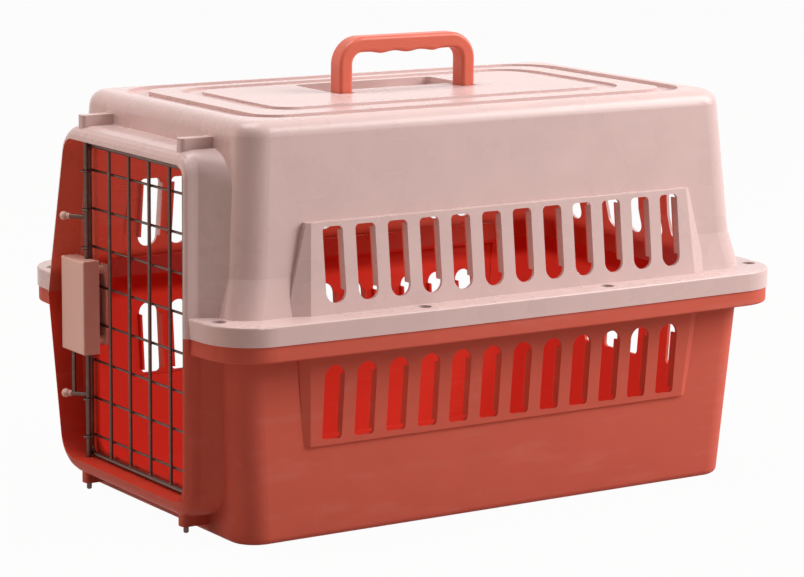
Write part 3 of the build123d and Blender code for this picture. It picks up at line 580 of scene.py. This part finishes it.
UPPER_PAINTED_INSIDE = PaintedInsideLight(
    body=(
        TaperedBox((143.4, 236.9, 150.0), (133.0, 224.2, 205.0), 22.0),
        TaperedBox((136.0, 227.7, 180.0), (125.4, 217.6, 303.6), 22.0),
        TaperedBox((146.5, 175.2, 160.0), (137.6, 169.8, 234.0)),
    ),
    surround=TaperedBox((106.6, 400.0, 150.0), (92.5, 400.0, 274.5)),
    slots=(172.0, 236.0),
    inner=UPPER_PAINTED_BOUNCE,
    glow=UPPER_PAINTED_GLOW,
    has_pocket=True,
    door_share=0.7,
)
LOWER_PAINTED_INSIDE = PaintedInsideLight(
    body=(
        TaperedBox((132.6, 222.5, 0.0), (140.2, 233.8, 157.0), 22.0),
        TaperedBox((138.0, 169.8, 70.0), (145.3, 175.2, 157.0)),
    ),
    surround=TaperedBox((95.0, 400.0, 27.7), (106.5, 400.0, 157.0)),
    slots=(70.0, 134.0),
    inner=LOWER_PAINTED_BOUNCE,
    glow=LOWER_PAINTED_GLOW,
)


@dataclass(frozen=True)
class Shells:
    """The two mouldings, dressed in their plastics."""

    def dress(self, effects: Effects, nodes: dict[str, bpy.types.Object]) -> None:
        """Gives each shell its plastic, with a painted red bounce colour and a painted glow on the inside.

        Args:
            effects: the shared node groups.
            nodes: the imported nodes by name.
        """
        assign(nodes["upper_shell"], PINK.material(effects, UPPER_PAINTED_INSIDE))
        assign(nodes["lower_shell"], CORAL.material(effects, LOWER_PAINTED_INSIDE))
        LOG.info("dressed the two shells")


def assign(target: bpy.types.Object, material: bpy.types.Material) -> None:
    """Makes one material the only one of an object."""
    target.data.materials.clear()
    target.data.materials.append(material)


Patch = tuple[np.ndarray, np.ndarray]


def skin(points: np.ndarray, rows_close: bool = False) -> Patch:
    """Joins a grid of points into quads, and the last column to the first.

    Args:
        points: rows by columns by three.
        rows_close: whether the last row joins the first too.

    Returns:
        The points as one list and the four corners of each quad.
    """
    rows, columns = points.shape[:2]
    bands = rows if rows_close else rows - 1
    row, column = np.meshgrid(np.arange(bands), np.arange(columns), indexing="ij")
    next_row = (row + 1) % rows
    next_column = (column + 1) % columns
    corners_of = (
        row * columns + column, row * columns + next_column,
        next_row * columns + next_column, next_row * columns + column,
    )
    return points.reshape(-1, 3), np.stack(corners_of, -1).reshape(-1, 4)


def turned(profile: np.ndarray, sides: int = 24, rows_close: bool = False) -> Patch:
    """Turns a profile round +Z: x is r cos a, y is r sin a and z is the height.

    Args:
        profile: pairs of radius and height.
        sides: how many points go round.
        rows_close: whether the profile is a closed loop.

    Returns:
        The turned surface.
    """
    angle = np.linspace(0, 2 * np.pi, sides, endpoint=False)
    radius = profile[:, :1]
    height = np.repeat(profile[:, 1:], sides, axis=1)
    return skin(np.stack((radius * np.cos(angle), radius * np.sin(angle), height), -1), rows_close)


def swept(path: np.ndarray, across: np.ndarray, radius: float, sides: int = 12) -> Patch:
    """Carries a circle along a path and closes it with a dome at each end.

    Each point is the path's point plus r (n cos a + b sin a), where n is the given direction
    made square to the path and b is the path's direction crossed with n. In the domes the
    radius falls as the cosine of an angle while the path goes on by its sine.

    Args:
        path: the points of the middle line.
        across: a direction for each point, not along the path.
        radius: the wire's radius.
        sides: how many points go round.

    Returns:
        The wire's surface.
    """
    rise = np.radians((88.0, 60.0, 30.0))
    first = path[1] - path[0]
    last = path[-1] - path[-2]
    first = first / np.linalg.norm(first)
    last = last / np.linalg.norm(last)
    before = path[0] - first * radius * np.sin(rise)[:, None]
    after = path[-1] + last * radius * np.sin(rise[::-1])[:, None]
    line = np.concatenate((before, path, after))
    girth = np.concatenate((radius * np.cos(rise), np.full(len(path), radius), radius * np.cos(rise[::-1])))
    side = np.concatenate((np.repeat(across[:1], 3, 0), across, np.repeat(across[-1:], 3, 0)))
    along = np.gradient(line, axis=0)
    along = along / np.linalg.norm(along, axis=1, keepdims=True)
    side = side - along * np.sum(side * along, axis=1, keepdims=True)
    side = side / np.linalg.norm(side, axis=1, keepdims=True)
    other = np.cross(along, side)
    angle = np.linspace(0, 2 * np.pi, sides, endpoint=False)[None, :, None]
    ring = side[:, None] * np.cos(angle) + other[:, None] * np.sin(angle)
    return skin(line[:, None] + girth[:, None, None] * ring)


def bead(centre: tuple[float, float, float], radii: tuple[float, float, float]) -> Patch:
    """An ellipsoid: a unit circle's half profile turned round and stretched by three radii."""
    rise = np.radians(np.linspace(-89, 89, 9))
    points, quads = turned(np.stack((np.cos(rise), np.sin(rise)), -1), 12)
    return points * np.array(radii) + np.array(centre), quads


def joined(patches: list[Patch]) -> Patch:
    """Puts several surfaces into one, with the corners of the later ones counted on."""
    counts = np.cumsum([0] + [len(points) for points, _ in patches[:-1]])
    points = np.concatenate([points for points, _ in patches])
    return points, np.concatenate([quads + count for (_, quads), count in zip(patches, counts)])


def shifted(patch: Patch, by: tuple[float, float, float]) -> Patch:
    """Moves a surface."""
    return patch[0] + np.array(by), patch[1]


def put(name: str, patch: Patch, finish: bpy.types.Material, body: Body) -> bpy.types.Object:
    """Makes an object from a surface in millimetres and lets it ride on a body.

    Args:
        name: the piece's name.
        patch: its points and quads.
        finish: its material.
        body: the body that it moves with.

    Returns:
        The new object.
    """
    points, quads = patch
    mesh = bpy.data.meshes.new(name)
    mesh.vertices.add(len(points))
    mesh.vertices.foreach_set("co", (points * MM).ravel())
    mesh.loops.add(quads.size)
    mesh.loops.foreach_set("vertex_index", quads.ravel())
    mesh.polygons.add(len(quads))
    mesh.polygons.foreach_set("loop_start", np.arange(0, quads.size, 4))
    mesh.update(calc_edges=True)
    work = bmesh.new()
    work.from_mesh(mesh)
    bmesh.ops.recalc_face_normals(work, faces=work.faces)
    work.to_mesh(mesh)
    work.free()
    mesh.shade_smooth()
    mesh.set_sharp_from_angle(angle=math.radians(38))
    piece = bpy.data.objects.new(name, mesh)
    bpy.context.scene.collection.objects.link(piece)
    assign(piece, finish)
    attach(piece, body.value)
    LOG.info("made %s", name)
    return piece


@dataclass(frozen=True)
class CrossHeadScrew:
    """A screw with a domed head and a cross recess, head up and seated at height 0, in millimetres."""

    head_radius: float
    head_height: float
    shank_radius: float
    length: float
    dome: float = 1.1
    recess_reach: float = 0.56
    recess_depth: float = 1.6
    arm_half: float = 0.62
    arm_edge: float = 0.22
    tip_bevel: float = 0.6
    rim_bevel: float = 0.1
    pole: float = 0.01
    sides: int = 64
    rings: int = 22

    def patch(self, turn: float) -> Patch:
        """Works out the screw's surface.

        The head is a polar grid: its height falls with the fourth power of the radius, and a
        cross is sunk in it that is deepest in the middle. The rest is a turned profile.

        Args:
            turn: how far the cross is turned, in radians.

        Returns:
            The surface.
        """
        angle = np.linspace(0, 2 * np.pi, self.sides, endpoint=False)[None]
        radius = np.linspace(self.pole, self.head_radius, self.rings)[:, None]
        x = radius * np.cos(angle)
        y = radius * np.sin(angle)
        right = np.abs(x * math.cos(turn) + y * math.sin(turn))
        up = np.abs(y * math.cos(turn) - x * math.sin(turn))
        arms = np.clip((self.arm_half - np.minimum(right, up)) / self.arm_edge, 0, 1)
        reach = self.recess_reach * self.head_radius
        sunk = arms * self.recess_depth * np.clip(1 - radius / reach, 0, 1)
        top = self.head_height - self.dome * (radius / self.head_radius) ** 4 - sunk
        head = skin(np.stack((x, y, np.broadcast_to(top, x.shape)), -1))
        shank = self.shank_radius
        rest = turned(np.array((
            (self.head_radius, self.head_height - self.dome),
            (self.head_radius, self.rim_bevel),
            (self.head_radius - self.rim_bevel, 0.0),
            (shank, 0.0),
            (shank, self.tip_bevel - self.length),
            (shank - self.tip_bevel, -self.length),
            (self.pole, -self.length),
        )), self.sides)
        return joined([head, rest])


@dataclass(frozen=True)
class Screws:
    """The eight flange screws with their nuts, and the two screws behind the latch, in millimetres."""

    flange: CrossHeadScrew = CrossHeadScrew(
        head_radius=4.7, head_height=3.0, shank_radius=2.5, length=20.0,
    )
    latch: CrossHeadScrew = CrossHeadScrew(
        head_radius=2.8, head_height=1.8, shank_radius=1.5, length=12.0,
        dome=0.6, recess_reach=0.62, recess_depth=1.0, arm_half=0.42, arm_edge=0.15,
    )
    side: tuple[float, float] = (154.0, 83.0)
    corner: tuple[float, float] = (129.5, 241.0)
    seat_z: float = 163.5
    nut_low: float = 144.5
    nut_tall: float = 3.85
    nut_flats: float = 8.0
    nut_bore: float = 2.55
    nut_bevel: float = 0.55
    nut_face_share: float = 0.48
    nut_sides: int = 72
    latch_x: float = -66.5
    latch_seat_y: float = -229.3
    latch_heights: tuple[float, float] = (121.0, 175.0)

    def places(self) -> list[tuple[float, float]]:
        """Where the eight flange screws stand."""
        quarter = (self.side, self.corner)
        return [(sx * x, sy * y) for x, y in quarter for sx in (1, -1) for sy in (1, -1)]

    def nut(self) -> Patch:
        """A hexagon nut whose corners are cut by a cone at both faces.

        The hexagon's radius at an angle is half the flats over the cosine of the angle to the
        nearest flat's middle, and near each face it is held to a circle.
        """
        angle = np.linspace(0, 2 * np.pi, self.nut_sides, endpoint=False)
        to_flat = (angle % (np.pi / 3)) - np.pi / 6
        hexagon = self.nut_flats / 2 / np.cos(to_flat)
        face = np.full_like(angle, self.nut_flats * self.nut_face_share)
        bore = np.full_like(angle, self.nut_bore)
        radius = np.stack((bore, face, hexagon, hexagon, face, bore))
        height = np.array((
            0.0, 0.0, self.nut_bevel, self.nut_tall - self.nut_bevel, self.nut_tall, self.nut_tall,
        ))
        tall = np.repeat(height[:, None], len(angle), axis=1)
        return skin(np.stack((radius * np.cos(angle), radius * np.sin(angle), tall), -1), rows_close=True)

    def build(self, zinc: bpy.types.Material) -> None:
        """Makes the screws and nuts in place of their plain solids."""
        places = self.places()
        heads = [
            shifted(self.flange.patch(0.4 + 0.9 * i), (x, y, self.seat_z))
            for i, (x, y) in enumerate(places)
        ]
        screws = put("cross_head_flange_screws", joined(heads), zinc, Body.CARRIER)
        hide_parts("flange_screws")
        rings = [shifted(self.nut(), (x, y, self.nut_low)) for x, y in places]
        nuts = put("chamfered_flange_nuts", joined(rings), zinc, Body.CARRIER)
        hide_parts("flange_nuts")
        small = []
        for i, z in enumerate(self.latch_heights):
            points, quads = self.latch.patch(0.3 + 1.1 * i)
            lying = np.stack((points[:, 0], points[:, 2], -points[:, 1]), -1)
            small.append(shifted((lying, quads), (self.latch_x, self.latch_seat_y, z)))
        screws = put("cross_head_latch_screws", joined(small), zinc, Body.DOOR)
        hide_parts("latch_screws")


@dataclass(frozen=True)
class Coil:
    """One spring of the latch: its ends' heights, its turns and how short it gets, in millimetres."""

    end: str
    span: tuple[float, float]
    turns: int
    keep: float
    anchor_z: float


@dataclass(frozen=True)
class LatchFittings:
    """The round-wire springs and the moulded caps of the finger tabs, in millimetres."""

    axis_x: float = -75.0
    axis_y: float = -239.7
    coil_radius: float = 2.75
    wire_radius: float = 0.42
    coils: tuple[Coil, ...] = (
        Coil("upper", (160.05, 176.95), 6, 0.29, 160.0),
        Coil("lower", (119.05, 157.95), 10, 0.33, 158.0),
    )
    tab_reach: tuple[float, float] = (-14.0, -12.0)
    upper_tab_z: float = 215.0
    lower_tab_z: float = 77.0
    cap_radius: float = 3.4
    sleeve_radius: float = 2.3
    sleeve_bore: float = 1.72
    sleeve_length: float = 5.0
    sleeve_bevel: float = 0.15

    def spring(self, coil: Coil) -> Patch:
        """A coil whose first and last turns lie close together.

        The path is a helix: x and y go round the axis, and the height rises slowly in the end
        turns and evenly between them.
        """
        turns = coil.turns
        count = 24 * turns
        turn = np.linspace(0, turns, count)
        tight = 2 * self.wire_radius
        low = coil.span[0] + self.wire_radius
        top = coil.span[1] - self.wire_radius
        height = np.interp(turn, (0, 1, turns - 1, turns), (low, low + tight, top - tight, top))
        out = np.stack((np.cos(2 * np.pi * turn), np.sin(2 * np.pi * turn), np.zeros(count)), -1)
        path = out * self.coil_radius
        path[:, 2] = height
        return shifted(swept(path, out, self.wire_radius, 8), (self.axis_x, self.axis_y, 0.0))

    def cap(self, z: float) -> Patch:
        """A ball with a sleeve: a turned profile, laid along the tab's arm."""
        reach = math.hypot(*self.tab_reach)
        neck = -math.sqrt(self.cap_radius ** 2 - self.sleeve_radius ** 2)
        rise = np.linspace(math.asin(neck / self.cap_radius), math.pi / 2 - 0.01, 16)
        ball = np.stack((self.cap_radius * np.cos(rise), self.cap_radius * np.sin(rise)), -1)
        start = -self.sleeve_length
        sleeve = np.array((
            (self.sleeve_bore, start),
            (self.sleeve_radius - self.sleeve_bevel, start),
            (self.sleeve_radius, start + self.sleeve_bevel),
            (self.sleeve_radius, neck - 0.05),
        ))
        points, quads = turned(np.concatenate((sleeve, ball)), 24)
        ahead = np.array((*self.tab_reach, 0.0)) / reach
        aside = np.array((-ahead[1], ahead[0], 0.0))
        up = np.array((0.0, 0.0, 1.0))
        placed = points[:, 2:] * ahead + points[:, :1] * aside + points[:, 1:2] * up
        tip = (self.axis_x + self.tab_reach[0], self.axis_y + self.tab_reach[1], z)
        return shifted((placed, quads), tip)

    def build(self, zinc: bpy.types.Material, cover: bpy.types.Material) -> None:
        """Makes the springs in place of their square coils, and the caps."""
        for coil in self.coils:
            spring = put(f"{coil.end}_coil", self.spring(coil), zinc, Body.DOOR)
            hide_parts(f"{coil.end}_latch_spring")
            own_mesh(spring)
        put("upper_tab_cap", self.cap(self.upper_tab_z), cover, Body.UPPER_LATCH)
        put("lower_tab_cap", self.cap(self.lower_tab_z), cover, Body.LOWER_LATCH)


@dataclass(frozen=True)
class DoorWelds:
    """The weld nuggets of the door and the cross-wire ends that curl round the latch rods.

    Sizes are in millimetres.
    """

    half_x: float = 78.5
    low_z: float = 30.0
    top_z: float = 270.0
    cross_low: float = 44.0
    cross_top: float = 250.0
    cross_count: int = 8
    upright_count: int = 4
    contact_y: float = -233.37
    end_y: float = -235.0
    end_gap: float = 2.0
    cross_y: float = -232.35
    rod_x: float = -75.0
    rod_y: float = -239.7
    curl_radius: float = 3.35
    curl_start_y: float = -236.0
    lead_corner: float = 1.6
    lead_out: float = 1.25
    run_back: tuple[float, float] = (0.6, 1.2)
    wire_radius: float = 1.0
    curled: tuple[int, ...] = (0, 1, 5, 6, 7)
    crossing_radii: tuple[float, float, float] = (1.3, 0.8, 1.2)
    end_radii: tuple[float, float, float] = (1.6, 1.5, 1.1)

    def heights(self) -> np.ndarray:
        """The height of each cross wire."""
        return np.linspace(self.cross_low, self.cross_top, self.cross_count)

    def nuggets(self) -> Patch:
        """An ellipsoid at each crossing and at each upright's ends."""
        uprights = np.linspace(-self.half_x, self.half_x, self.upright_count + 2)
        beads = [
            bead((x, self.contact_y, z), self.crossing_radii)
            for x in uprights
            for z in self.heights()
        ]
        for z in (self.low_z + self.end_gap, self.top_z - self.end_gap):
            beads.extend(bead((x, self.end_y, z), self.end_radii) for x in uprights[1:-1])
        return joined(beads)

    def curl(self, z: float) -> Patch:
        """One hook: past the frame wire, then half round the rod.

        The path is a quarter circle out of the cross wire, a run along -Y, half a circle round
        the rod's axis and a short run back.
        """
        left = self.rod_x - self.curl_radius
        right = self.rod_x + self.curl_radius
        outer = left - self.lead_out
        corner = self.lead_corner
        bend = np.linspace(0, np.pi / 2, 7)[:-1]
        lead_x = outer + corner - corner * np.sin(bend)
        lead_y = self.cross_y - corner + corner * np.cos(bend)
        lead = np.stack((lead_x, lead_y), -1)
        drop_x = np.linspace(outer, left, 9)[1:-1]
        drop_y = np.linspace(self.curl_start_y, self.rod_y, 9)[1:-1]
        drop = np.stack((drop_x, drop_y), -1)
        angle = np.linspace(np.pi, 2 * np.pi, 22)
        round_rod = np.stack((np.cos(angle), np.sin(angle)), -1) * self.curl_radius
        hook = round_rod + np.array((self.rod_x, self.rod_y))
        back = np.array([(right, self.rod_y + run) for run in self.run_back])
        flat = np.concatenate((lead, drop, hook, back))
        path = np.concatenate((flat, np.full((len(flat), 1), z)), 1)
        across = np.tile((0.0, 0.0, 1.0), (len(path), 1))
        return swept(path, across, self.wire_radius, 12)

    def build(self, wire: bpy.types.Material) -> None:
        """Makes the nuggets and the curls."""
        put("door_weld_nuggets", self.nuggets(), wire, Body.DOOR)
        curls = [self.curl(float(self.heights()[i])) for i in self.curled]
        put("door_cross_wire_curls", joined(curls), wire, Body.DOOR)


@dataclass(frozen=True)
class Hardware:
    """The handle, the door, the latch and the screws."""

    screws: Screws = Screws()
    latch: LatchFittings = LatchFittings()
    welds: DoorWelds = DoorWelds()

    def dress(self, effects: Effects, frame: dict[str, Any]) -> None:
        """Gives every node but the shells its finish, and makes the small pieces.

        Args:
            effects: the shared node groups.
            frame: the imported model.
        """
        finishes = {
            Slot.WIRE: WIRE.material(effects),
            Slot.ZINC: ZINC.material(effects),
            Slot.COVER: COVER.material(effects),
            Slot.HANDLE: GRIP.material(effects),
        }
        for row in frame["record"]["subparts"]:
            slot = Slot(row["material_slot"])
            if slot in finishes:
                assign(frame["nodes"][row["node"]], finishes[slot])
        LOG.info("dressed the hardware")
        self.screws.build(finishes[Slot.ZINC])
        self.latch.build(finishes[Slot.ZINC], finishes[Slot.COVER])
        self.welds.build(finishes[Slot.WIRE])


@dataclass(frozen=True)
class Lamp:
    """One square soft lamp: its direction and distance as seen from the carrier, its size and its power.

    The azimuth is in degrees from +X towards +Y, and the elevation in degrees above the floor.
    """

    name: str
    azimuth: float
    elevation: float
    distance: float
    size: float
    watts: float
    colour: Colour = (1.0, 1.0, 1.0)

    def place(self, target: Vector) -> None:
        """Hangs the lamp in the scene and points it at the target."""
        azimuth = math.radians(self.azimuth)
        elevation = math.radians(self.elevation)
        away = Vector((
            math.cos(azimuth) * math.cos(elevation),
            math.sin(azimuth) * math.cos(elevation),
            math.sin(elevation),
        ))
        data = bpy.data.lights.new(self.name, "AREA")
        data.energy = self.watts
        data.color = self.colour
        data.size = self.size
        lamp = bpy.data.objects.new(self.name, data)
        bpy.context.scene.collection.objects.link(lamp)
        lamp.location = target + away * self.distance
        lamp.rotation_mode = "QUATERNION"
        lamp.rotation_quaternion = (-away).to_track_quat("-Z", "Y")


@dataclass(frozen=True)
class Studio:
    """Pale floor, white surroundings, soft lamps and the camera."""

    azimuth: float = 56.80
    elevation: float = 10.37
    roll: float = 0.51
    distance: float = 2.34758
    target: tuple[float, float, float] = (0.00004, -0.00193, 0.14944)
    focal_px: float = 2987.97
    image_width: int = 804
    sensor: float = 36.0
    clip: tuple[float, float] = (0.05, 50.0)
    floor_half: float = 6.0
    floor_colour: Colour = (0.46, 0.38, 0.35)
    floor_white: float = 0.97
    world_strength: float = 0.14
    world_colour: Colour = (1.0, 0.76, 0.67)
    lamps: tuple[Lamp, ...] = (
        Lamp("overhead", -120.0, 76.0, 2.1, 1.2, 30.0),
        Lamp("long_side", 55.0, 32.0, 2.6, 1.7, 78.0),
        Lamp("door_side", -120.0, 14.0, 2.7, 1.6, 18.0, (1.0, 0.74, 0.63)),
    )

    def build(self) -> None:
        """Makes the floor, the world, the lamps and the camera."""
        self._floor()
        self._world()
        for lamp in self.lamps:
            lamp.place(Vector(self.target))
        self._camera()
        LOG.info("built the studio")

    def _background_share(self, tree: Tree) -> Socket:
        """Adds the nodes that are 1 where the camera, a gloss or a clear material looks."""
        path = tree.node("ShaderNodeLightPath").outputs
        through = tree.sum("MAXIMUM", path["Is Camera Ray"], path["Is Transmission Ray"])
        return tree.sum("MAXIMUM", through, path["Is Glossy Ray"])

    def _floor(self) -> None:
        """A flat pale floor that looks nearly white and keeps a soft shadow."""
        half = self.floor_half
        mesh = bpy.data.meshes.new("studio_floor")
        square = [(-half, -half, 0), (half, -half, 0), (half, half, 0), (-half, half, 0)]
        mesh.from_pydata(square, [], [(0, 1, 2, 3)])
        floor = bpy.data.objects.new("studio_floor", mesh)
        bpy.context.scene.collection.objects.link(floor)
        made, tree = new_material("studio_floor")
        plain = tree.node("ShaderNodeBsdfDiffuse", {"Color": (*self.floor_colour, 1.0)})
        white = tree.node("ShaderNodeEmission", {"Color": (1.0, 1.0, 1.0, 1.0), "Strength": 1.0})
        share = tree.sum("MULTIPLY", self._background_share(tree), self.floor_white)
        mixed = tree.node("ShaderNodeMixShader", {0: share, 1: plain.outputs[0], 2: white.outputs[0]})
        tree.node("ShaderNodeOutputMaterial", {"Surface": mixed.outputs[0]})
        assign(floor, made)

    def _world(self) -> None:
        """Dim warm light from all round, and white where the camera or a gloss looks past the floor."""
        world = bpy.data.worlds.new("studio")
        world.use_nodes = True
        world.node_tree.nodes.clear()
        tree = Tree(world.node_tree)
        dim = {"Color": (*self.world_colour, 1.0), "Strength": self.world_strength}
        around = tree.node("ShaderNodeBackground", dim)
        white = tree.node("ShaderNodeBackground", {"Color": (1.0, 1.0, 1.0, 1.0), "Strength": 1.0})
        share = self._background_share(tree)
        mixed = tree.node("ShaderNodeMixShader", {0: share, 1: around.outputs[0], 2: white.outputs[0]})
        tree.node("ShaderNodeOutputWorld", {"Surface": mixed.outputs[0]})
        bpy.context.scene.world = world

    def _camera(self) -> None:
        """The camera at the photograph's angle, turned by a small roll."""
        azimuth = math.radians(self.azimuth)
        elevation = math.radians(self.elevation)
        roll = math.radians(self.roll)
        back = Vector((
            math.sin(azimuth) * math.cos(elevation),
            -math.cos(azimuth) * math.cos(elevation),
            math.sin(elevation),
        ))
        right = Vector((math.cos(azimuth), math.sin(azimuth), 0.0))
        up = back.cross(right)
        turned_right = right * math.cos(roll) + up * math.sin(roll)
        turned_up = up * math.cos(roll) - right * math.sin(roll)
        data = bpy.data.cameras.new("camera")
        data.sensor_width = self.sensor
        data.lens = self.sensor * self.focal_px / self.image_width
        data.clip_start, data.clip_end = self.clip
        camera = bpy.data.objects.new("camera", data)
        bpy.context.scene.collection.objects.link(camera)
        turn = Matrix((turned_right, turned_up, back)).transposed()
        camera.matrix_world = Matrix.Translation(Vector(self.target) + back * self.distance) @ turn.to_4x4()
        bpy.context.scene.camera = camera


def main() -> None:
    """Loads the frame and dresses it."""
    logging.basicConfig(level=logging.INFO, format="%(message)s")
    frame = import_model()
    bpy.context.scene.view_settings.view_transform = "Standard"
    effects = Effects()
    Studio().build()
    Shells().dress(effects, frame["nodes"])
    Hardware().dress(effects, frame)


if __name__ == "__main__":
    main()
